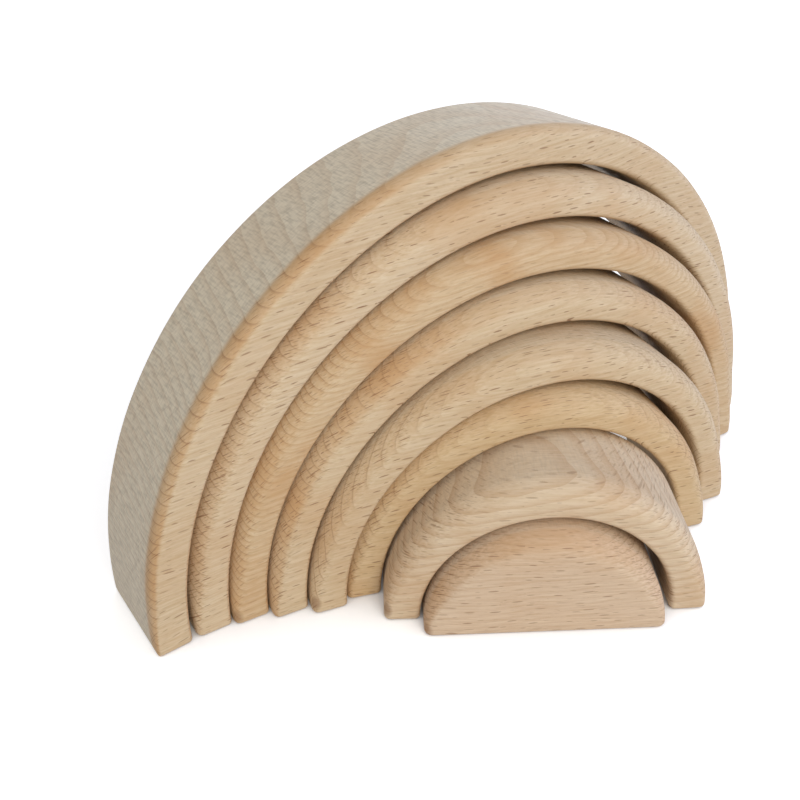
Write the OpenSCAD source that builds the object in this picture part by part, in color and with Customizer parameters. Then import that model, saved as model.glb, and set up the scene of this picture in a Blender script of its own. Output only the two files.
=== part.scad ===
// Nesting rainbow stacker: seven wooden arches and a solid half-round, one inside the other.
// The pieces stand fanned out: each one is pulled forward out of the next larger one and turned a little.
// +Z is up, +Y runs to the back, and the outer arch faces -Y. Piece 1 is the outer arch, 8 the half-round.

/* [Arches] */
// Radius of the half-round in the middle, from which the set grows outwards
half_round_radius = 33.9; // [20:0.1:60]
// Thickness of every arch between its outside and its inside
wall = 10.5; // [7:0.1:16]
// Gap between an arch and the piece nested in it, all round
clearance = 1.8; // [0.8:0.1:3]
// Depth of every piece, front to back
depth = 33; // [25:0.5:60]

/* [Edges] */
// Rounding of the outside edges of the outer arch
crisp_round = 2; // [0.5:0.1:3]
// Rounding of the outside edges of the other pieces
edge_round = 5; // [0.5:0.1:6]
// Rounding of the edges inside every arch
inside_round = 1; // [0.5:0.1:2.5]
// Rounding of the edges under the feet and under the half-round
foot_round = 1; // [0.5:0.1:3]

/* [Fan] */
// How far pieces 1 to 8 stand forward of the next larger piece
pull_out = [0, 7.3, 6.5, 6.3, 10, 3.8, 21.6, 6.5]; // [0:0.1:24]
// How far pieces 1 to 8 are turned, as a share of the turn at which they touch the next larger piece
turn_share = [0, 0.58, 0.47, 0.33, 0.7, 0.97, 0.89, 0]; // [0:0.01:1]
// How far pieces 1 to 8 lean to the left (-1) or to the right (1) in the room that is left
lean = [0, 0.6, -1, -1, -1, -1, -1, -0.7]; // [-1:0.1:1]
// Gap that is left between two pieces where they come closest
rest_gap = 0.3; // [0.3:0.05:0.6]

/* [Hidden] */
NODES = ["outer_arch", "second_arch", "third_arch", "fourth_arch", "fifth_arch", "sixth_arch",
         "smallest_arch", "half_round"];
$fn = 96;
pieces = len(NODES);
overcut = 1;
widest_turn = 30;
beech = "burlywood";
pale_beech = "wheat";

// Sizes of piece n
function outside(n) = half_round_radius + (pieces - n) * (wall + clearance);
function inside(n) = outside(n) - wall;
function rim_round(n) = n == 1 ? crisp_round : edge_round;

// Room to turn: a straight leg reaches this far into the next larger piece
function overlap(n) = max(depth - pull_out[n - 1], rest_gap);
function free_turn(n) = min(widest_turn, asin(min(1, 2 * (clearance - rest_gap) / overlap(n))));
function turn(n) = turn_share[n - 1] * free_turn(n);

// Depth of the left leg that stays in front of the next larger piece
function leg_out(n) = max(0, (pull_out[n - 1] - outside(n) * sin(turn(n))) / cos(turn(n)));

// Room to each side when the piece stands midway between its two contacts
function side_room(n) = clearance + outside(n) * (1 - cos(turn(n)))
    - (depth - leg_out(n)) / 2 * sin(turn(n));

// Place of piece n in the frame of the next larger piece
function step_x(n) = lean[n - 1] * (side_room(n) - rest_gap)
    - (depth + leg_out(n)) / 2 * sin(turn(n));
function step_y(n) = -pull_out[n - 1];

// Place of piece n in the frame of the outer arch: turn to the right, x and y of its front base centre
function angle(n) = n == 1 ? 0 : angle(n - 1) + turn(n);
function place_x(n) = n == 1 ? 0 :
    place_x(n - 1) + cos(angle(n - 1)) * step_x(n) + sin(angle(n - 1)) * step_y(n);
function place_y(n) = n == 1 ? 0 :
    place_y(n - 1) - sin(angle(n - 1)) * step_x(n) + cos(angle(n - 1)) * step_y(n);

// Foremost and rearmost points of piece n, on its rounded right front and left rear corners
function front_y(n) = place_y(n) - (outside(n) - rim_round(n)) * sin(angle(n))
    + rim_round(n) * (cos(angle(n)) - 1);
function rear_y(n) = place_y(n) + (outside(n) - rim_round(n)) * sin(angle(n))
    + (depth - rim_round(n)) * cos(angle(n)) + rim_round(n);

// The set is centred on its own footprint
centre_y = (min([for (n = [1:pieces]) front_y(n)]) + max([for (n = [1:pieces]) rear_y(n)])) / 2;

// Cross-section of an arch: radius across, depth up, rounded at the outside and the inside edges
module arch_section(n) {
    ro = rim_round(n);
    ri = inside_round;
    translate([inside(n) + ri, 0]) square([wall - ri - ro, depth]);
    translate([inside(n), ri]) square([wall - ro, depth - 2 * ri]);
    translate([inside(n) + ri, ro]) square([wall - ri, depth - 2 * ro]);
    for (y = [ro, depth - ro]) translate([outside(n) - ro, y]) circle(ro);
    for (y = [ri, depth - ri]) translate([inside(n) + ri, y]) circle(ri);
}

// Cross-section of the half-round, from its axis to its rim
module half_round_section(n) {
    ro = rim_round(n);
    square([outside(n) - ro, depth]);
    translate([0, ro]) square([outside(n), depth - 2 * ro]);
    for (y = [ro, depth - ro]) translate([outside(n) - ro, y]) circle(ro);
}

// Half a turn of a section, standing on its two ends with the front at y = 0
module half_turn() {
    translate([0, depth, 0]) rotate([90, 0, 0]) rotate_extrude(angle = 180) children();
}

// What is cut off a foot's outside corner, in the plane of the arch
module outside_corner(radius) {
    x = sqrt(pow(radius - foot_round, 2) - pow(foot_round, 2));
    reach = (radius + overcut) / (radius - foot_round);
    centre = [x, foot_round];
    difference() {
        polygon([centre, [x, -overcut], [radius + overcut, -overcut], reach * centre]);
        translate(centre) circle(foot_round);
    }
}

// What is cut off a foot's inside corner, in the plane of the arch
module inside_corner(radius) {
    x = sqrt(pow(radius + foot_round, 2) - pow(foot_round, 2));
    reach = (radius - overcut) / (radius + foot_round);
    centre = [x, foot_round];
    difference() {
        polygon([centre, reach * centre, [reach * x, -overcut], [x, -overcut]]);
        translate(centre) circle(foot_round);
    }
}

// What is cut off a lower front or rear edge, seen from the side
module lower_edge() {
    difference() {
        translate([-overcut, -overcut]) square(foot_round + overcut);
        translate([foot_round, foot_round]) circle(foot_round);
    }
}

// Rounds the lower edges of a piece that stands on the floor
module round_base(n, hollow) {
    width = 2 * (outside(n) + overcut);
    difference() {
        children();
        for (side = [0, 1]) mirror([side, 0, 0]) {
            translate([0, depth + overcut, 0]) rotate([90, 0, 0])
                linear_extrude(depth + 2 * overcut) {
                    outside_corner(outside(n));
                    if (hollow) inside_corner(inside(n));
                }
        }
        for (end = [0, 1]) translate([0, end * depth, 0]) mirror([0, end, 0])
            translate([-width / 2, 0, 0]) rotate([90, 0, 90]) linear_extrude(width) lower_edge();
    }
}

// Stands piece n in its place in the fan
module placed(n) {
    translate([place_x(n), place_y(n) - centre_y, 0]) rotate([0, 0, -angle(n)]) children();
}

module arch(n) {
    placed(n) round_base(n, true) half_turn() arch_section(n);
}

module outer_arch() { color(pale_beech) arch(1); }
module second_arch() { color(beech) arch(2); }
module third_arch() { color(beech) arch(3); }
module fourth_arch() { color(beech) arch(4); }
module fifth_arch() { color(beech) arch(5); }
module sixth_arch() { color(beech) arch(6); }
module smallest_arch() { color(beech) arch(7); }
module half_round() { color(beech) placed(8) round_base(8, false) half_turn() half_round_section(8); }

outer_arch();
second_arch();
third_arch();
fourth_arch();
fifth_arch();
sixth_arch();
smallest_arch();
half_round();
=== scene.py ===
# %% [markdown]
# A nesting rainbow is a set of wooden arches that stack inside each other. This one has seven half
# rings and a solid half-round, all in bare beech, band-sawn from thick boards and sanded by hand.
# The CAD frame already holds every piece at its real size and place, so this lesson gives them their
# looks: soft edges, the grain of the wood, and the light of a plain studio.
# The frame comes first, and its box is kept.

# %% Load the CAD frame
import math

import bpy
import numpy as np
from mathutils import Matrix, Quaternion, Vector, noise


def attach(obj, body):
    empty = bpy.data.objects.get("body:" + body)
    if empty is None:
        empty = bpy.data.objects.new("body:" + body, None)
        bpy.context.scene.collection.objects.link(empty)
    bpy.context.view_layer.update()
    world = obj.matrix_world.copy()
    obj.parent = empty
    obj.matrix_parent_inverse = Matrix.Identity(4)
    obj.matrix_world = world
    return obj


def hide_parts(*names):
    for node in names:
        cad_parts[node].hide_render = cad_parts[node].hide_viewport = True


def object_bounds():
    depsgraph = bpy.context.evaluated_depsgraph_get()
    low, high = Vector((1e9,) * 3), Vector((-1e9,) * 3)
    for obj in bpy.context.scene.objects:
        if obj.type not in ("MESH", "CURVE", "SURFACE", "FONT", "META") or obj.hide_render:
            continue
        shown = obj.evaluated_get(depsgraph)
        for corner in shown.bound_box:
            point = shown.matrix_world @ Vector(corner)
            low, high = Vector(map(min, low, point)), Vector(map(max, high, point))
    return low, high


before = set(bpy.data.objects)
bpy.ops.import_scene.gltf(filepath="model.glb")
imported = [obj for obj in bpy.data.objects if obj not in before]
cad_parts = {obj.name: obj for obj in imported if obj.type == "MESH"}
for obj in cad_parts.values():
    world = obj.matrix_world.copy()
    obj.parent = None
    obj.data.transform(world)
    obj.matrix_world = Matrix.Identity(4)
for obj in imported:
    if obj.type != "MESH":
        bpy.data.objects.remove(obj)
cad_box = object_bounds()
MM = 0.001
print("CAD box in mm:", [[round(c / MM, 1) for c in corner] for corner in cad_box])

# %% [markdown]
# Each piece stands turned a little in the next larger one. The turn, the place and the radii could be
# typed in again from the CAD source, but then they would drift apart when that changes. They are
# measured on the frame instead: the flat front is the largest face that looks forward, so its normal
# gives the turn, and the box in that direction gives the rest.

# %% Measure the pieces on the frame
FORWARD, UPRIGHT = -0.5, 1e-4
NAMES = ["outer_arch", "second_arch", "third_arch", "fourth_arch", "fifth_arch", "sixth_arch",
         "smallest_arch", "half_round"]


def measure(name):
    """Turn to the right, place of the front base centre, radii and depth of a CAD piece, in metres."""
    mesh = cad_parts[name].data
    fronts = [(math.atan2(-f.normal.x, -f.normal.y), f.area) for f in mesh.polygons
              if f.normal.y < FORWARD and abs(f.normal.z) < UPRIGHT]
    fronts.sort()
    halfway = np.searchsorted(np.cumsum([area for _, area in fronts]),
                              sum(area for _, area in fronts) / 2)
    turn = fronts[halfway][0]
    upright = Quaternion((0, 0, 1), turn).to_matrix()
    points = np.array([upright @ v.co for v in mesh.vertices])
    low, high = points.min(0), points.max(0)
    middle = Vector(((low[0] + high[0]) / 2, low[1], 0))
    inside = np.hypot(points[:, 0] - middle.x, points[:, 2]).min()
    return {"turn": turn, "place": upright.transposed() @ middle,
            "outside": high[2], "inside": inside, "depth": high[1] - low[1]}


sizes = {name: measure(name) for name in NAMES}
for name, s in sizes.items():
    print(f"{name}: turned {math.degrees(s['turn']):.1f} degrees, radius {s['outside'] / MM:.1f} mm, "
          f"inside {s['inside'] / MM:.1f} mm, depth {s['depth'] / MM:.1f} mm")

# %% [markdown]
# An arch is a bar that runs round half a circle. A curve with a bevel profile could make it, or a
# spun section, but both leave sharp edges round the feet. Here a box of fine quads is softened first,
# with its own rounding for each kind of edge, and then wrapped round the half circle, so that the
# rims, the inside edges and the feet all roll over as on a sanded toy.
# The grid lines lie close together where an edge is rounded, and further apart between.

# %% Rule a box with quads
ROUND_STEPS = 8


def ruled(size, first_round, last_round, steps):
    """Grid lines from 0 to size, close together over the roundings at both ends."""
    return np.concatenate([
        np.linspace(0, first_round, ROUND_STEPS + 1),
        np.linspace(first_round, size - last_round, steps + 1)[1:],
        np.linspace(size - last_round, size, ROUND_STEPS + 1)[1:]])


def box_of_quads(lines):
    """Points and outward quads on the surface of a box that is ruled by three lists of lines."""
    points, quads, known = [], [], {}

    def point(key):
        if key not in known:
            known[key] = len(points)
            points.append([lines[axis][step] for axis, step in enumerate(key)])
        return known[key]

    for axis in range(3):
        across, along = (axis + 1) % 3, (axis + 2) % 3
        for end in (0, len(lines[axis]) - 1):
            for i in range(len(lines[across]) - 1):
                for j in range(len(lines[along]) - 1):
                    ring = [(i, j), (i + 1, j), (i + 1, j + 1), (i, j + 1)]
                    quad = []
                    for p, q in (ring if end else reversed(ring)):
                        key = [end] * 3
                        key[across], key[along] = p, q
                        quad.append(point(tuple(key)))
                    quads.append(quad)
    return np.array(points), quads


print("lines over a 10 mm wall with edges of 1 and 5 mm:", np.round(ruled(10, 1, 5, 2), 1))

# %% [markdown]
# A sanded rim is never an exact quarter circle. The sander takes most off at the top of an arch, where
# it is easy to hold, and leaves the feet crisp, because they stand flat on the table. It also reaches
# further back along the side than down the face, and it is pressed harder here and there. The outer
# arch keeps a crisp rim, and the edges of the inside are just broken, a little more at the front.
# The picture doesn't show the backs. They get only a light pass here, which keeps the gaps narrow.
# One bevel width for all edges would be simpler, but it would look machined. So the radius of the rim
# grows from the feet to the top and swells a little on the way. Smooth noise from one fixed seed per
# piece gives the same set every time.

# %% Radius of the sanded rim
CRISP_RIM = 2.6 * MM
SOFT_RIM = 5 * MM
INSIDE_FRONT, INSIDE_BACK = 1.6 * MM, 1 * MM
FOOT_EDGE = 1 * MM
FOOT_SHARE, SIDE_SHARE, TOP_SHARE = 0.4, 0.9, 1.3
BACK_SHARE = 0.3
RUN_OUT = 18 * MM
DEEPER = 1.2
SANDING_LENGTH = 21 * MM
SANDING_SHARE = 0.1


def smooth(share):
    """Eases a share between 0 and 1 at both ends."""
    share = np.clip(share, 0, 1)
    return share * share * (3 - 2 * share)


def sanding(along, seed):
    """Smooth hand-made unevenness along an arch, from -1 to 1."""
    return np.array([noise.noise((a / SANDING_LENGTH, seed, 0)) for a in along])


def rim_radius(along, length, rim, seed):
    """Radius of the rim at a way along the arch: crisp at the feet, fullest at the top."""
    run = smooth(np.minimum(along, length - along) / RUN_OUT)
    arched = SIDE_SHARE + (TOP_SHARE - SIDE_SHARE) * np.sin(math.pi * along / length)
    foot = FOOT_SHARE + (1 - FOOT_SHARE) * run
    return rim * foot * arched * (1 + SANDING_SHARE * run * sanding(along, seed))


trial = rim_radius(np.linspace(0, 0.3, 7), 0.3, SOFT_RIM, 1)
print("rim of an arch from foot to foot, mm:", np.round(trial / MM, 1))

# %% [markdown]
# With the rim known, the box is softened. A Bevel modifier could round it, but with one width all along
# an edge. Here every grid point near an edge is pulled onto an ellipse round the core of the bar, so the
# width can change from point to point. Then the bar is wrapped, so that its length becomes the angle
# and its thickness the radius. The outside dips by up to a tenth of a millimetre or so, as sanded wood
# does.

# %% Soften the edges and wrap the bar into an arch
ARC_STEPS, DEPTH_STEPS, WALL_STEPS = 150, 6, 3
HOLLOW = 0.07 * MM


def arch_shape(outside, inside, depth, rim, seed):
    """Points and quads of an arch in its own frame: x across, y to the back, z up."""
    wall, middle = outside - inside, (outside + inside) / 2
    length = math.pi * middle
    widest = rim * TOP_SHARE * (1 + SANDING_SHARE)
    points, quads = box_of_quads([
        ruled(length, FOOT_EDGE, FOOT_EDGE, ARC_STEPS),
        ruled(depth, DEEPER * widest, DEEPER * widest * BACK_SHARE, DEPTH_STEPS),
        ruled(wall, INSIDE_FRONT, widest, WALL_STEPS)])
    front = points[:, 1] < depth / 2
    outer = rim_radius(points[:, 0], length, rim, seed) * np.where(front, 1, BACK_SHARE)
    within = np.where(front, INSIDE_FRONT, INSIDE_BACK)
    share = smooth((points[:, 2] - within) / (wall - outer - within))
    face_round = within + (DEEPER * outer - within) * share
    first = np.column_stack([np.full(len(points), FOOT_EDGE), face_round, within])
    last = np.column_stack([np.full(len(points), FOOT_EDGE), face_round, outer])
    core = np.clip(points, first, np.array([length, depth, wall]) - last)
    reach = (points - core) / np.where(points < core, first, last)
    soft = core + (points - core) / np.maximum(np.linalg.norm(reach, axis=1), 1)[:, None]
    turn = soft[:, 0] / middle
    radius = inside + soft[:, 2] - HOLLOW * (1 + sanding(points[:, 0], seed)) * share
    return np.column_stack([-radius * np.cos(turn), soft[:, 1], radius * np.sin(turn)]), quads


trial = arch_shape(0.12, 0.1095, 0.033, CRISP_RIM, 0)
print("an arch has", len(trial[0]), "points and", len(trial[1]), "quads")

# %% [markdown]
# The half-round is the plug that is left in the middle. It has no inside, so a wrapped bar would pinch
# along its base. Its outline is drawn instead, a half circle on a straight base with small corners,
# and that outline is stacked from front to back: smaller on the flat faces, larger over the rounded
# rim, full size along the side. The rim follows the same rule as on the arches.

# %% Stack outlines into the half-round
CORNER = 1.4 * MM
OUTLINE_STEPS = {"base": 40, "corner": 6, "arc": 84}
ROLL_STEPS, SIDE_STEPS = ROUND_STEPS + 3, 4
FACE_RINGS = (0.8, 0.55, 0.3, 0.1)
FACE_CENTRE = 0.4


def half_disc(radius_at, base, corner):
    """Outline of a half disc whose radius depends on the angle, from the left base corner round."""
    x, z = math.sqrt((radius_at(0) - corner) ** 2 - (base + corner) ** 2), base + corner
    meet = math.atan2(z, x)
    row = [(t, base) for t in np.linspace(-x, x, OUTLINE_STEPS["base"])]
    bend = [(x + corner * math.cos(a), z + corner * math.sin(a))
            for a in np.linspace(-math.pi / 2, meet, OUTLINE_STEPS["corner"])[1:]]
    arc = [(radius_at(a) * math.cos(a), radius_at(a) * math.sin(a))
           for a in np.linspace(meet, math.pi - meet, OUTLINE_STEPS["arc"])[1:-1]]
    return np.array(row + bend + arc + [(-p, q) for p, q in reversed(bend)])


def edge_inset(rim, behind):
    """How far a rounded rim stands back from its side, that far behind the face."""
    share = max(1 - behind / (DEEPER * rim), 0)
    return rim * (1 - math.sqrt(1 - share ** 2))


def half_round_shape(outside, depth, rim, seed):
    """Points and quads of the solid half-round in its own frame."""
    length = math.pi * outside
    deepest = DEEPER * rim * TOP_SHARE * (1 + SANDING_SHARE)
    rolled = [deepest * (1 - math.cos(a)) for a in np.linspace(0, math.pi / 2, ROLL_STEPS)]
    fronts = rolled + list(np.linspace(deepest, depth / 2, SIDE_STEPS)[1:])
    rings = []
    for y in fronts + [depth - y for y in reversed(fronts[:-1])]:
        behind = min(y, depth - y)

        def radius_at(angle):
            along = np.array([angle * outside])
            return outside - edge_inset(rim_radius(along, length, rim, seed)[0], behind)

        outline = half_disc(radius_at, edge_inset(FOOT_EDGE, behind), CORNER)
        rings.append(np.column_stack([outline[:, 0], np.full(len(outline), y), outline[:, 1]]))
    centre = np.array((0, 0, outside * FACE_CENTRE))
    flats = rings[0], rings[-1]
    for share in FACE_RINGS:
        front, back = ((flat - centre) * [share, 1, share] + centre for flat in flats)
        rings = [front] + rings + [back]
    count = len(rings[0])
    quads = [[r * count + i, r * count + (i + 1) % count, (r + 1) * count + (i + 1) % count,
              (r + 1) * count + i] for r in range(len(rings) - 1) for i in range(count)]
    caps = [list(range(count))[::-1], list(range((len(rings) - 1) * count, len(rings) * count))]
    return np.concatenate(rings), quads + caps


print("the half-round has", len(half_round_shape(0.034, 0.033, SOFT_RIM, 7)[0]), "points")

# %% [markdown]
# Now to the wood. Beech is a pale pinkish-brown hardwood with an even, fine grain. What tells it from
# other woods are its rays: thin ribbons that run from the heart of the trunk to the bark. Where the
# saw cut across them, as on the front of these pieces, they show as short dark dashes along the grain,
# and on the ends of the grain they show as a fine hatch.
# A picture wrapped round the piece could not show this, because the pattern goes through the solid.
# So the wood is a solid texture in the piece's own millimetres: x along the grain, y towards the heart
# and z across, after a spin about the grain that is each board's own.
# One small function adds any node with its settings and links, and one turns a hex colour to linear.

# %% Helpers for colours and nodes


def linear(code):
    """Linear colour of an sRGB hex code such as #D8B48A."""
    parts = [int(code[i:i + 2], 16) / 255 for i in (1, 3, 5)]
    return [p / 12.92 if p <= 0.04045 else ((p + 0.055) / 1.055) ** 2.4 for p in parts] + [1]


def add(tree, kind, inputs=(), **settings):
    """Adds a shader node; inputs maps a socket's name or number to a value or to a linked socket."""
    made = tree.nodes.new("ShaderNode" + kind)
    for setting, value in settings.items():
        setattr(made, setting, value)
    for socket, value in dict(inputs).items():
        if isinstance(value, bpy.types.NodeSocket):
            tree.links.new(value, made.inputs[socket])
        else:
            made.inputs[socket].default_value = value
    return made


print("a mid beech in linear light:", [round(c, 3) for c in linear("#D2B48C")])

# %% [markdown]
# The grain is not ruled with a straightedge: the fibres drift by a millimetre or two over the length
# of a finger. Straight coordinates would be simpler, but the wood would look printed. So a slow noise
# pushes every point a little before the patterns are drawn, and each piece looks at another stretch of
# the same endless trunk, so no two pieces repeat.

# %% Grain space: millimetres in the piece, with a slow drift
DRIFT_LENGTH_MM = 48
DRIFT_MM = 3.0


def grain_space(tree, place, look):
    """Grain coordinates in millimetres, from a place in the piece's own millimetres."""
    trunk = add(tree, "Mapping", {"Vector": place, "Location": (look["trunk"], 0, 0),
                                  "Rotation": (math.radians(look["spin"]), 0, 0)}).outputs[0]
    slow = add(tree, "TexNoise", {"Vector": trunk, "Scale": 1 / DRIFT_LENGTH_MM, "Detail": 1.5})
    centred = add(tree, "VectorMath", {0: slow.outputs["Color"], 1: (0.5, 0.5, 0.5)},
                  operation="SUBTRACT").outputs[0]
    return add(tree, "VectorMath", {0: centred, 1: (0, 2 * DRIFT_MM, 2 * DRIFT_MM), 2: trunk},
               operation="MULTIPLY_ADD").outputs[0]


print("the grain drifts by", DRIFT_MM, "mm over", DRIFT_LENGTH_MM, "mm")

# %% [markdown]
# A ring of growth is a pale spring layer that darkens towards autumn and then stops short. The rings
# are tubes round the heart of the trunk, which lies some centimetres away from the piece. Straight bands
# would do for a small spot, but not where the rings bend. A Wave texture in its Rings mode has just the
# shape of tubes, with a sawtooth for the sudden stop. Tilting them a few degrees makes them run out on
# the surface in long arcs, as on a flat-sawn board.
# At scale 1 the wave repeats every 2 pi / 20 units, so its scale follows from the width of a ring.

# %% Growth rings
WAVE_UNIT = 2 * math.pi / 20
LATE_STARTS, LINE_STARTS = 0.4, 0.8
RING_WOBBLE = {"Distortion": 2.2, "Detail": 2, "Detail Scale": 0.7}


def growth_rings(tree, grain, look):
    """Late wood of the growth rings and the thin line where each ring stops, both 0 to 1."""
    tilted = add(tree, "Mapping", {"Vector": grain, "Location": (0, *look["heart"]),
                                   "Rotation": [math.radians(a) for a in look["tilt"]]})
    rings = add(tree, "TexWave", {"Vector": tilted.outputs[0], "Scale": WAVE_UNIT / look["ring_mm"],
                                  **RING_WOBBLE},
                wave_type="RINGS", rings_direction="X", wave_profile="SAW")
    return [add(tree, "MapRange", {"Value": rings.outputs["Fac"], "From Min": low, "From Max": 1},
                interpolation_type="SMOOTHSTEP").outputs[0] for low in (LATE_STARTS, LINE_STARTS)]


print("rings 2 mm wide need a wave of scale", round(WAVE_UNIT / 2, 3))

# %% [markdown]
# Stretched noise could stand for the rays, but it gives streaks that run into each other, and real rays
# are separate dashes with pointed ends. So they are drawn one per cell of a Voronoi texture. The cell
# tells where its own centre is, so the dash can have another shape than the cell: its length and
# thickness are given in millimetres, and towards the heart it runs through the whole cell.
# The cell's random colour makes some dashes shorter and some fainter. The finest real rays would not
# show in the picture, so the hatch is drawn coarser than they are.

# %% Rays: dashes on the face, a hatch on the end grain
SIZE_LUCK, DEPTH_LUCK = (0.45, 1.2), (0.3, 1)


def rays(tree, grain, cell_mm, dash_mm, softness):
    """Rays of the given half lengths, one in each cell, 0 to 1."""
    shrunk = add(tree, "VectorMath", {0: grain, 1: cell_mm}, operation="DIVIDE").outputs[0]
    cells = add(tree, "TexVoronoi", {"Vector": shrunk, "Scale": 1})
    offset = add(tree, "VectorMath", {0: shrunk, 1: cells.outputs["Position"]},
                 operation="SUBTRACT").outputs[0]
    stretch = add(tree, "VectorMath", {0: offset, 1: [c / d for c, d in zip(cell_mm, dash_mm)]},
                  operation="MULTIPLY").outputs[0]
    away = add(tree, "VectorMath", {0: stretch}, operation="LENGTH").outputs["Value"]
    luck = add(tree, "SeparateColor", {0: cells.outputs["Color"]})
    size = add(tree, "MapRange", {"Value": luck.outputs[0], "To Min": SIZE_LUCK[0],
                                  "To Max": SIZE_LUCK[1]}).outputs[0]
    inner = add(tree, "Math", {0: size, 1: 1 - softness}, operation="MULTIPLY").outputs[0]
    dash = add(tree, "MapRange", {"Value": away, "From Min": size, "From Max": inner},
               interpolation_type="SMOOTHSTEP").outputs[0]
    depth = add(tree, "MapRange", {"Value": luck.outputs[1], "To Min": DEPTH_LUCK[0],
                                   "To Max": DEPTH_LUCK[1]}).outputs[0]
    return add(tree, "Math", {0: dash, 1: depth}, operation="MULTIPLY").outputs[0]


print("rays are", SIZE_LUCK[0], "to", SIZE_LUCK[1], "times their usual size")

# %% [markdown]
# The broad outside of the outer arch is left as the band saw cut it, so it is greyer than the sanded
# fronts and covered in a fine weave: short scratches across it from the blade and weaker ones along it
# from the feed. The grain's own coordinates would draw them straight through the solid, but they lie
# only on the skin and follow the arch. So they are drawn in the length along it and the piece's depth.
# Real saw marks are finer still: these are drawn just coarse enough to show in the picture.

# %% Saw marks
ACROSS_MM, ALONG_MM = (0.65, 4, 1), (2.8, 0.6, 1)
MARK_SHOWS = (0.42, 0.72)
FEED_SHARE = 0.6


def saw_marks(tree, place, radius_mm):
    """Marks of the saw on the outside of an arch of that radius, 0 to 1 and a little more."""
    split = add(tree, "SeparateXYZ", {0: place})
    turn = add(tree, "Math", {0: split.outputs["Z"], 1: split.outputs["X"]}, operation="ARCTAN2")
    arc = add(tree, "Math", {0: turn.outputs[0], 1: radius_mm}, operation="MULTIPLY").outputs[0]
    flat = add(tree, "CombineXYZ", {0: arc, 1: split.outputs["Y"]}).outputs[0]
    marks = []
    for stroke in (ACROSS_MM, ALONG_MM):
        scaled = add(tree, "VectorMath", {0: flat, 1: stroke}, operation="DIVIDE").outputs[0]
        lines = add(tree, "TexNoise", {"Vector": scaled, "Scale": 1, "Detail": 1}).outputs["Fac"]
        marks.append(add(tree, "MapRange", {"Value": lines, "From Min": MARK_SHOWS[0],
                                            "From Max": MARK_SHOWS[1]}).outputs[0])
    across, along = marks
    return add(tree, "Math", {0: along, 1: FEED_SHARE, 2: across}, operation="MULTIPLY_ADD").outputs[0]


print("saw marks across", ACROSS_MM[1], "mm long, along", ALONG_MM[0], "mm long")

# %% [markdown]
# The ground of the wood is its fibres, fine threads along the grain, some paler and some deeper. Real
# ones are finer than a tenth of a millimetre: these are drawn several times as thick, so that they
# show. Over them lie warm clouds a few centimetres wide, where the board took on more colour.
# A Wave texture could make fibres too, but too evenly. Both are plain noise, stretched along the grain
# for the fibres and left round for the clouds.

# %% Fibres and stains
FIBRE_MM = (13, 0.5, 0.5)
FIBRE_SHOWS = (0.3, 0.7)
STAIN_MM = 26
STAIN_SHOWS = (0.44, 0.68)


def fibres_and_stains(tree, grain):
    """Fibres, the clouds under the stains, and the stains themselves, all 0 to 1."""
    threads = add(tree, "VectorMath", {0: grain, 1: FIBRE_MM}, operation="DIVIDE").outputs[0]
    fibre = add(tree, "TexNoise", {"Vector": threads, "Scale": 1, "Detail": 4}).outputs["Fac"]
    fibre = add(tree, "MapRange", {"Value": fibre, "From Min": FIBRE_SHOWS[0],
                                   "From Max": FIBRE_SHOWS[1]}).outputs[0]
    cloud = add(tree, "TexNoise", {"Vector": grain, "Scale": 1 / STAIN_MM, "Detail": 3}).outputs["Fac"]
    stain = add(tree, "MapRange", {"Value": cloud, "From Min": STAIN_SHOWS[0], "From Max": STAIN_SHOWS[1]},
                interpolation_type="SMOOTHSTEP").outputs[0]
    return fibre, cloud, stain


print("fibres", FIBRE_MM[0], "mm long and", FIBRE_MM[1], "mm thick, stains", STAIN_MM, "mm wide")

# %% [markdown]
# A board looks different on each side, and a rounded piece shows all of them. Masks could be painted by
# hand, but then they would not follow a change of size. Here the way a spot was cut is read from its
# normal: facing along x it shows end grain, and with no share of y it is a side that the saw left.
# What lies between a side and the front is the sanded rim. It is tinted warmer and darker, most of all
# on the left of every piece: partly the rim's own warmer colour, partly painted shade where the rims
# turn away from the light and into the creases.

# %% Which way a spot was cut
END_SHOWS, SAWN_SHOWS, FRONT_SHOWS = (0.1, 0.75), (0.3, 0.12), (0.72, 0.97)
SANDED_MM = (3.2, 5.5)
WARM_SHADED_SIDE_MM = (60, -40)


def cuts(tree, spot, place):
    """Masks of the end grain, the sawn sides and the rim's warm tint with painted shade, all 0 to 1."""
    facing = add(tree, "VectorMath", {0: spot.outputs["Normal"]}, operation="ABSOLUTE").outputs[0]
    facing = add(tree, "SeparateXYZ", {0: facing})
    where = add(tree, "SeparateXYZ", {0: place})
    end, sawn, front, inward = [
        add(tree, "MapRange", {"Value": value, "From Min": shows[0], "From Max": shows[1]},
            interpolation_type="SMOOTHSTEP").outputs[0]
        for value, shows in ((facing.outputs["X"], END_SHOWS), (facing.outputs["Y"], SAWN_SHOWS),
                             (facing.outputs["Y"], FRONT_SHOWS), (where.outputs["Y"], SANDED_MM))]
    sawn = add(tree, "Math", {0: sawn, 1: inward}, operation="MULTIPLY").outputs[0]
    rim = add(tree, "Math", {0: front, 1: sawn}, operation="ADD").outputs[0]
    rim = add(tree, "Math", {0: 1, 1: rim}, operation="SUBTRACT", use_clamp=True).outputs[0]
    # On the left the rim gets painted shade as well as its own warmer colour.
    warm = add(tree, "MapRange", {"Value": where.outputs["X"], "From Min": WARM_SHADED_SIDE_MM[0],
                                  "From Max": WARM_SHADED_SIDE_MM[1]}).outputs[0]
    rim = add(tree, "Math", {0: rim, 1: warm}, operation="MULTIPLY").outputs[0]
    return end, sawn, rim


print("the sanding of a rim ends", SANDED_MM[0], "to", SANDED_MM[1], "mm behind the front")

# %% [markdown]
# Some feet have a small brown corner at the front, low on the left. It could be painted on a mask, but a
# soft ball of colour round one point does the same and stays at its place in the wood.

# %% Brown blotches at the feet
BLOTCH_MM = (2, 1.8, 3)
BLOTCH_SHOWS = (1, 0.55)


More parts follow.
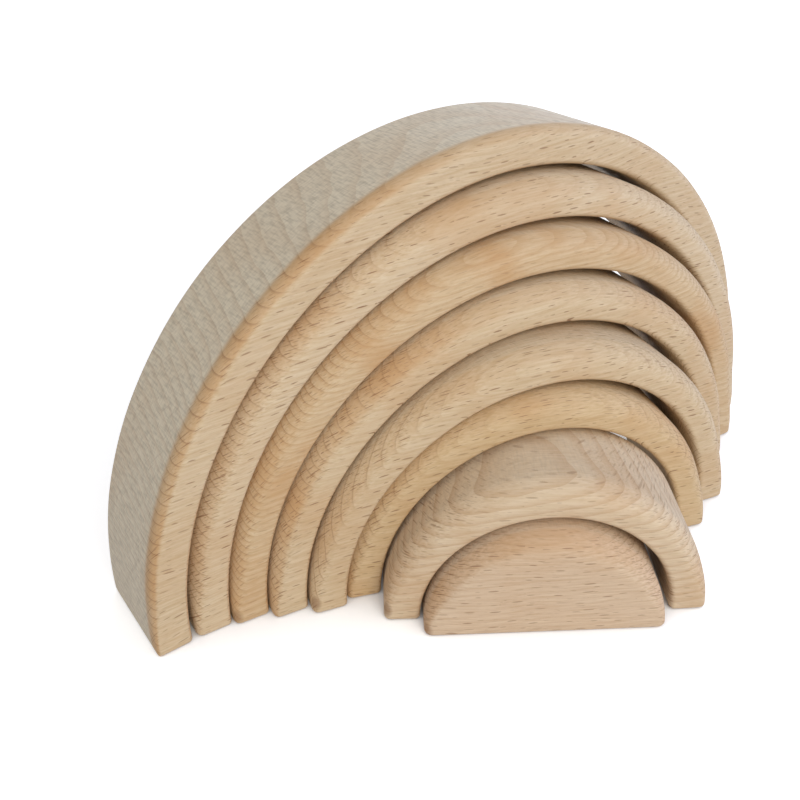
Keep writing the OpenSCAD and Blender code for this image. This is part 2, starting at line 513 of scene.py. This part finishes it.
def blotches(tree, place, look):
    """A brown blotch at its place in the piece, 0 to 1."""
    away = add(tree, "VectorMath", {0: place, 1: look["blotch"]}, operation="SUBTRACT").outputs[0]
    away = add(tree, "VectorMath", {0: away, 1: BLOTCH_MM}, operation="DIVIDE").outputs[0]
    away = add(tree, "VectorMath", {0: away}, operation="LENGTH").outputs["Value"]
    return add(tree, "MapRange", {"Value": away, "From Min": BLOTCH_SHOWS[0],
                                  "From Max": BLOTCH_SHOWS[1]}).outputs[0]


print("a bruise reaches", BLOTCH_MM, "mm from its middle")

# %% [markdown]
# The finish is bare beech, sanded fine. To the eye that is a matt surface with only a faint sheen,
# which breaks up along the fibres, so the roughness follows them. The colours are mixed in layers, from
# the ground up: fibres, the greyer sawn sides with their marks, rings, stains, the warm rim with its
# painted shade, the lines where rings end, the hatch, the dashes, and a blotch at some feet. On a sawn
# side the fuzz of the cut hides most of the lines. Saw marks and dashes are also a little deeper than the
# fibres.
# One shader for all pieces would save nodes, but every board has its own colours and rings, so each
# piece gets a material of its own from the same recipe.
# In a Mix node for colours, sockets 6 and 7 are the two colours.

# %% Beech, bare and finely sanded
DASH_CELL_MM, DASH_MM, DASH_SOFTNESS = (6.2, 60, 2.7), (1.8, 400, 0.25), 0.45
FINE_CELL_MM, FINE_MM, FINE_SOFTNESS = (2.4, 16, 0.85), (1.1, 100, 0.2), 0.8
SAWN_HIDES = 0.8
ROUGHNESS = (0.55, 0.75)
WOOD_IOR, SHEEN = 1.5, 0.35
RELIEF, RELIEF_DEPTH = 0.3, 0.12 * MM


def beech(name, look, radius_mm):
    """Bare beech with fibres, growth rings, rays, end grain and sawn sides in the piece's own frame."""
    material = bpy.data.materials.new(name)
    material.use_nodes = True
    tree = material.node_tree
    surface = tree.nodes["Principled BSDF"]
    spot = add(tree, "TexCoord")
    place = add(tree, "VectorMath", {0: spot.outputs["Object"], 1: (1 / MM,) * 3},
                operation="MULTIPLY").outputs[0]
    grain = grain_space(tree, place, look)
    fibre, cloud, stain = fibres_and_stains(tree, grain)
    late, line = growth_rings(tree, grain, look)
    slant = math.cos(math.radians(look["spin"]))
    dashes = rays(tree, grain, (*DASH_CELL_MM[:2], DASH_CELL_MM[2] * slant),
                  (*DASH_MM[:2], DASH_MM[2] * slant), DASH_SOFTNESS)
    hatch = rays(tree, grain, FINE_CELL_MM, FINE_MM, FINE_SOFTNESS)
    marks = saw_marks(tree, place, radius_mm)
    end, sawn, rim = cuts(tree, spot, place)
    blotch = blotches(tree, place, look)
    bared = add(tree, "Math", {0: sawn, 1: -SAWN_HIDES * look["sawn_share"], 2: 1},
                operation="MULTIPLY_ADD").outputs[0]
    dashes, hatch, line = [add(tree, "Math", {0: share, 1: bared}, operation="MULTIPLY").outputs[0]
                           for share in (dashes, hatch, line)]
    end_line, end_hatch, sawn_marks, rim_stain_and_shade = [
        add(tree, "Math", {0: share, 1: mask}, operation="MULTIPLY").outputs[0]
        for share, mask in ((line, end), (hatch, end), (marks, sawn), (cloud, rim))]

    colour = add(tree, "Mix", {"Factor": fibre, 6: linear(look["deep"]), 7: linear(look["pale"])},
                 data_type="RGBA").outputs[2]
    # The rim layer is partly the rim's own warm colour and partly painted shade on the left rims.
    for share, strength, tint in (
            (sawn, look["sawn_share"], look["sawn"]), (sawn_marks, look["marks"], look["mark"]),
            (late, look["rings"], look["late"]), (stain, look["stain"], look["warm"]),
            (rim_stain_and_shade, look["rim"], look["warm"]), (end_line, look["end_rings"], look["ray"]),
            (hatch, look["hatch"], look["ray"]), (end_hatch, look["end_hatch"], look["ray"]),
            (dashes, look["dashes"], look["ray"]), (blotch, look["blotched"], look["ray"])):
        share = add(tree, "Math", {0: share, 1: strength}, operation="MULTIPLY").outputs[0]
        colour = add(tree, "Mix", {"Factor": share, 6: colour, 7: linear(tint)},
                     data_type="RGBA").outputs[2]
    tree.links.new(colour, surface.inputs["Base Color"])

    rough = add(tree, "MapRange", {"Value": fibre, "To Min": ROUGHNESS[0], "To Max": ROUGHNESS[1]})
    tree.links.new(rough.outputs[0], surface.inputs["Roughness"])
    surface.inputs["IOR"].default_value = WOOD_IOR
    surface.inputs["Specular IOR Level"].default_value = SHEEN
    height = add(tree, "Math", {0: sawn_marks, 1: dashes}, operation="ADD").outputs[0]
    height = add(tree, "Math", {0: fibre, 1: height}, operation="SUBTRACT").outputs[0]
    relief = add(tree, "Bump", {"Height": height, "Strength": RELIEF, "Distance": RELIEF_DEPTH})
    tree.links.new(relief.outputs[0], surface.inputs["Normal"])
    return material


print("dashes up to", 2 * DASH_MM[0] * SIZE_LUCK[1], "mm long, hatch", 2 * FINE_MM[2], "mm thick")

# %% [markdown]
# Every piece comes from another board. The fronts are all much alike, a warm sand colour, but the
# third arch has warm brown streaks, the half-round is pinker and quiet, and the outer arch is grey
# on its broad outside. Each piece could have a full list of its own, but naming only what sets it apart
# from the common look is shorter. The common look gives colours first, then the strength of each layer,
# then the board. There trunk is where along the trunk the piece was cut and heart where the middle of
# the rings lies, in mm, while spin turns the board about its grain and tilt leans the rings, in degrees.
# A blotch is a place in the piece, in mm from the middle of its front base edge.

# %% The look of each piece
# The rim strength paints the left rims warmer and darker: partly their own colour, partly painted shade.
COMMON = {"deep": "#CBB38F", "pale": "#DCC8AA", "late": "#B68B5E", "warm": "#C08E57", "ray": "#7F5230",
          "sawn": "#CDC0AC", "mark": "#857A6B",
          "rings": 0.14, "end_rings": 0.35, "stain": 0.25, "rim": 0.38, "sawn_share": 0.1, "marks": 0.12,
          "hatch": 0.12, "end_hatch": 0.6, "dashes": 0.75, "blotched": 0,
          "spin": 40, "tilt": (0, 4, 3), "ring_mm": 1.9, "heart": (-75, 0), "blotch": (0, 0, 0)}
LOOKS = {
    "outer_arch": {"trunk": 0, "spin": 55, "sawn": "#E6DBC6", "sawn_share": 0.95, "marks": 0.3,
                   "rim": 0.9, "stain": 0.12, "ring_mm": 2.6, "end_rings": 0.45, "end_hatch": 0.3,
                   "dashes": 0.65},
    "second_arch": {"trunk": 310, "deep": "#CEB693", "pale": "#DECBAE", "end_hatch": 0.8},
    "third_arch": {"trunk": 640, "deep": "#CBAF88", "pale": "#DAC4A3", "stain": 0.45, "dashes": 0.3,
                   "rings": 0.3, "ring_mm": 1.4, "spin": 65, "rim": 0.5, "blotch": (-94.2, 1, 3),
                   "blotched": 0.45},
    "fourth_arch": {"trunk": 990, "end_hatch": 0.85, "rim": 0.75, "spin": 62, "heart": (-170, 20)},
    "fifth_arch": {"trunk": 1330, "stain": 0.2, "spin": 58, "heart": (-170, -20),
                   "blotch": (-69.6, 1, 4), "blotched": 0.5},
    "sixth_arch": {"trunk": 1660, "deep": "#C9AD83", "pale": "#D9C19D", "stain": 0.35, "spin": 66,
                   "heart": (-170, 20)},
    "smallest_arch": {"trunk": 1990, "deep": "#D5BE9E", "pale": "#E3D0B6", "dashes": 0.4, "rings": 0.3,
                      "rim": 0.1, "ring_mm": 3, "end_rings": 0.12, "heart": (-30, -31.4), "spin": 20,
                      "tilt": (0, 9, 5), "blotch": (-45, 1, 4), "blotched": 0.5},
    "half_round": {"trunk": 2320, "deep": "#D1B699", "pale": "#E1CBB1", "dashes": 0.6, "stain": 0.15,
                   "rim": 0.8, "blotch": (-32.8, 1, 2), "blotched": 0.45},
}
print("looks for", ", ".join(LOOKS))

# %% [markdown]
# The pieces go together: shape, finish, place. The place could be put into the points of each mesh, but
# the wood is drawn in the piece's own frame, so the object is placed and turned instead. Then it rides
# on the CAD body of the same name, so it slides when that body slides.

for number, name in enumerate(NAMES):
    s = sizes[name]
    rim = CRISP_RIM if name == "outer_arch" else SOFT_RIM
    if name == "half_round":
        points, faces = half_round_shape(s["outside"], s["depth"], rim, number)
    else:
        points, faces = arch_shape(s["outside"], s["inside"], s["depth"], rim, number)
    mesh = bpy.data.meshes.new(name + "_beech")
    mesh.from_pydata(points.tolist(), [], faces)
    mesh.shade_smooth()
    mesh.materials.append(beech("beech_" + name, {**COMMON, **LOOKS[name]}, s["outside"] / MM))
    piece = bpy.data.objects.new(name + "_wood", mesh)
    bpy.context.scene.collection.objects.link(piece)
    piece.location = s["place"]
    piece.rotation_euler.z = -s["turn"]
    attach(piece, name)
    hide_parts(name)
    print(f"{piece.name}: {len(mesh.polygons)} faces")

# %% [markdown]
# The set stands on a table with a pale card on it. Uncoated card is matt: it scatters the light evenly
# and mirrors nothing, so all that shows on it is the soft shadow at the feet. It has to look white
# without more light on the wood, so it glows a little, but only for rays that show it. The glow grows
# further away, where less light from the panels falls. It fades where a piece stands close to the card,
# which an Ambient Occlusion node finds, so the fading paints a soft shade round the feet and under the
# set, and the feet stay grounded.
# A brighter lamp over the card would make it white too, but it would reach the wood as well.

# %% White floor
FLOOR_SIZE = 6.0
FLOOR_GLOW = 0.62
GLOW_GROWS = (0.4, 1.6)
CORNER_REACH = 0.05
CORNER_SHADE = (0.15, 0.65)


def in_view(tree):
    """1 for rays that show the background: to the camera, in a reflection or through glass."""
    path = add(tree, "LightPath")
    seen = path.outputs["Is Camera Ray"]
    for kind in ("Is Glossy Ray", "Is Transmission Ray"):
        seen = add(tree, "Math", {0: seen, 1: path.outputs[kind]}, operation="MAXIMUM").outputs[0]
    return seen


floor_mesh = bpy.data.meshes.new("floor")
half = FLOOR_SIZE / 2
floor_mesh.from_pydata([(-half, -half, 0), (half, -half, 0), (half, half, 0), (-half, half, 0)], [],
                       [(0, 1, 2, 3)])
floor = bpy.data.objects.new("floor", floor_mesh)
bpy.context.scene.collection.objects.link(floor)
card = bpy.data.materials.new("matt_white_card")
card.use_nodes = True
tree = card.node_tree
paper = tree.nodes["Principled BSDF"]
paper.inputs["Base Color"].default_value = linear("#DEDEE0")
paper.inputs["Roughness"].default_value = 1
away = add(tree, "VectorMath", {0: add(tree, "TexCoord").outputs["Object"]}, operation="LENGTH")
level = add(tree, "MapRange", {"Value": away.outputs["Value"], "From Min": GLOW_GROWS[0],
                               "From Max": GLOW_GROWS[1], "To Min": FLOOR_GLOW, "To Max": 1}).outputs[0]
# The glow fades where the card is occluded: painted shade round the feet and under the set.
clear = add(tree, "AmbientOcclusion", {"Distance": CORNER_REACH}, samples=8).outputs["AO"]
clear = add(tree, "MapRange", {"Value": clear, "From Min": CORNER_SHADE[0],
                               "From Max": CORNER_SHADE[1]}).outputs[0]
level = add(tree, "Math", {0: level, 1: clear}, operation="MULTIPLY").outputs[0]
seen = add(tree, "Math", {0: in_view(tree), 1: level}, operation="MULTIPLY").outputs[0]
glow = add(tree, "Emission", {"Strength": seen})
both = add(tree, "AddShader", {0: paper.outputs[0], 1: glow.outputs[0]})
tree.links.new(both.outputs[0], tree.nodes["Material Output"].inputs["Surface"])
floor_mesh.materials.append(card)
print("floor", FLOOR_SIZE, "m across, glow", FLOOR_GLOW)

# %% [markdown]
# The surroundings give the soft fill. In the room of the picture the light comes from where the camera
# stands and the wall behind the set is dim, which is why the narrow gaps between the arches look
# almost black. An even white world would fill them. So the world is bright in front, dim behind, and
# plain white where the camera looks straight at it.

# %% Studio world
FRONT_FILL, BACK_FILL = 0.5, 0.16
WINDOW = (-0.25, -0.9, 0.2)
WINDOW_SPREAD = (-0.3, 0.5)

world = bpy.data.worlds.new("studio")
bpy.context.scene.world = world
world.use_nodes = True
tree = world.node_tree
towards = add(tree, "VectorMath", {0: add(tree, "TexCoord").outputs["Generated"], 1: WINDOW},
              operation="DOT_PRODUCT").outputs["Value"]
fill = add(tree, "MapRange", {"Value": towards, "From Min": WINDOW_SPREAD[0],
                              "From Max": WINDOW_SPREAD[1], "To Min": BACK_FILL,
                              "To Max": FRONT_FILL}).outputs[0]
level = add(tree, "Mix", {"Factor": in_view(tree), 2: fill, 3: 1.0}).outputs[0]
sky = tree.nodes["Background"]
sky.inputs["Color"].default_value = linear("#FBFCFF")
tree.links.new(level, sky.inputs["Strength"])
print("fill light from", BACK_FILL, "behind to", FRONT_FILL, "in front")

# %% [markdown]
# Three soft panels light the set. The broad one in front is about as high as the camera, like a window
# behind it, so the fronts are brighter than the tops and the shadow falls behind the set. A small cool
# one stands near on the right and takes some yellow out of the right-hand rims, and a weak one behind
# keeps the backs from going dark when the set is turned. None of them shows in the picture.
# Spot lights could do the same, but their hard shadows would cut up the narrow gaps.

# %% Soft panels


def outward(azimuth, height):
    """Direction away from the set in degrees: azimuth 0 is in front, 90 on the right, height is up."""
    a, e = math.radians(azimuth), math.radians(height)
    return Vector((math.sin(a) * math.cos(e), -math.cos(a) * math.cos(e), math.sin(e)))


def panel(name, azimuth, height, distance, size, watts, colour):
    """A square soft light in that direction, which faces the middle of the set."""
    light = bpy.data.lights.new(name, "AREA")
    light.size, light.energy, light.color = size, watts, linear(colour)[:3]
    lamp = bpy.data.objects.new(name, light)
    lamp.visible_camera = False
    bpy.context.scene.collection.objects.link(lamp)
    away = outward(azimuth, height)
    aim = Vector((0, 0, cad_box[1].z / 2))
    lamp.location = aim + away * distance
    lamp.rotation_mode = "QUATERNION"
    lamp.rotation_quaternion = (-away).to_track_quat("-Z", "Y")
    print(f"{name}: {watts} W, {size} m across, {distance} m away")


panel("window_panel", azimuth=-14, height=36, distance=1.6, size=1.0, watts=13.6, colour="#FFF8EB")
panel("side_panel", azimuth=66, height=25, distance=0.7, size=0.6, watts=1.7, colour="#AEC8FF")
panel("back_panel", azimuth=140, height=14, distance=1.0, size=0.6, watts=2.1, colour="#F2F4FF")

# %% [markdown]
# The camera stands close, as a phone does over a table, so the near feet look large and the far ones
# small. A longer lens from further away would frame the set as well, but with near and far more alike.
# The direction, distance and lens were found by lining up the rims and the feet with the picture. The
# small shift is the crop of the picture.

# %% Camera
CAMERA_AZIMUTH, CAMERA_HEIGHT, CAMERA_ROLL = -34.36, 34.94, -1.64
CAMERA_DISTANCE = 258.35 * MM
CAMERA_AIM = Vector((-35.78, 23.46, 40)) * MM
LENS_MM, LENS_SHIFT, NEAREST = 39.4, (-0.0005, 0.0363), 10 * MM

lens = bpy.data.cameras.new("camera")
lens.lens = LENS_MM
lens.shift_x, lens.shift_y = LENS_SHIFT
lens.clip_start = NEAREST
camera = bpy.data.objects.new("camera", lens)
bpy.context.scene.collection.objects.link(camera)
away = outward(CAMERA_AZIMUTH, CAMERA_HEIGHT)
camera.location = CAMERA_AIM + away * CAMERA_DISTANCE
camera.rotation_mode = "QUATERNION"
camera.rotation_quaternion = ((-away).to_track_quat("-Z", "Y")
                              @ Quaternion((0, 0, 1), math.radians(CAMERA_ROLL)))
bpy.context.scene.camera = camera
bpy.context.scene.view_settings.view_transform = "Standard"
print("camera at", [round(c / MM) for c in camera.location], "mm")
